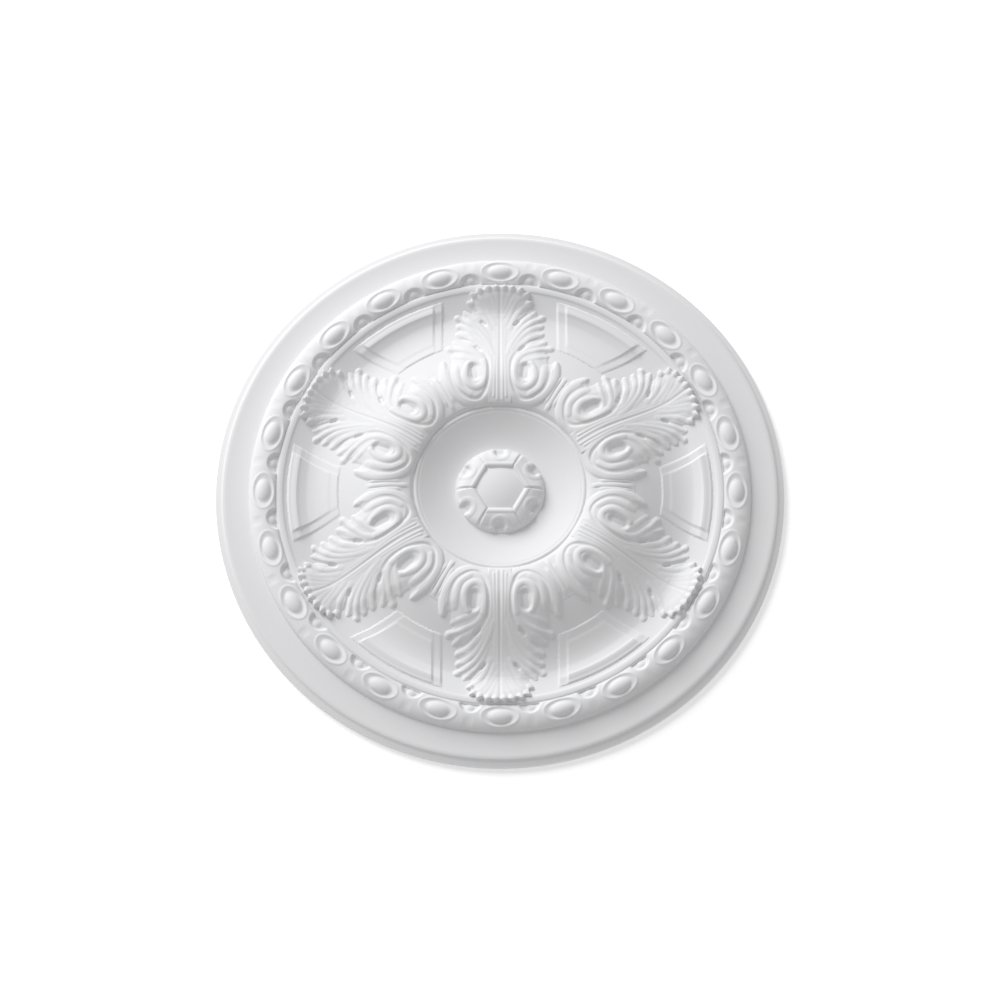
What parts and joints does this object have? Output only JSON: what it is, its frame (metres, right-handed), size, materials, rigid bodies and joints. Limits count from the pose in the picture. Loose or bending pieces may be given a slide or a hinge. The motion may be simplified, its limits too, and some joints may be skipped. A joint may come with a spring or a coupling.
{
  "type": "ceiling rose",
  "caption": "Round moulded ceiling rose with acanthus leaves, scrolls, raised coffers, a ring of oval beads and a petalled centre boss in a dished well, on a flat back.",
  "frame": {"origin": "centre of the flat back that is fixed to the ceiling", "axes": "+Z out of the back towards the carved face, +Y along the axis of one acanthus leaf, +X to its right"},
  "size_m": [0.7, 0.7, 0.0506],
  "materials": {
    "primed_white": "matt primed white"
  },
  "bodies": {
    "root": {"ceiling_rose": "primed_white"}
  },
  "joints": []
}
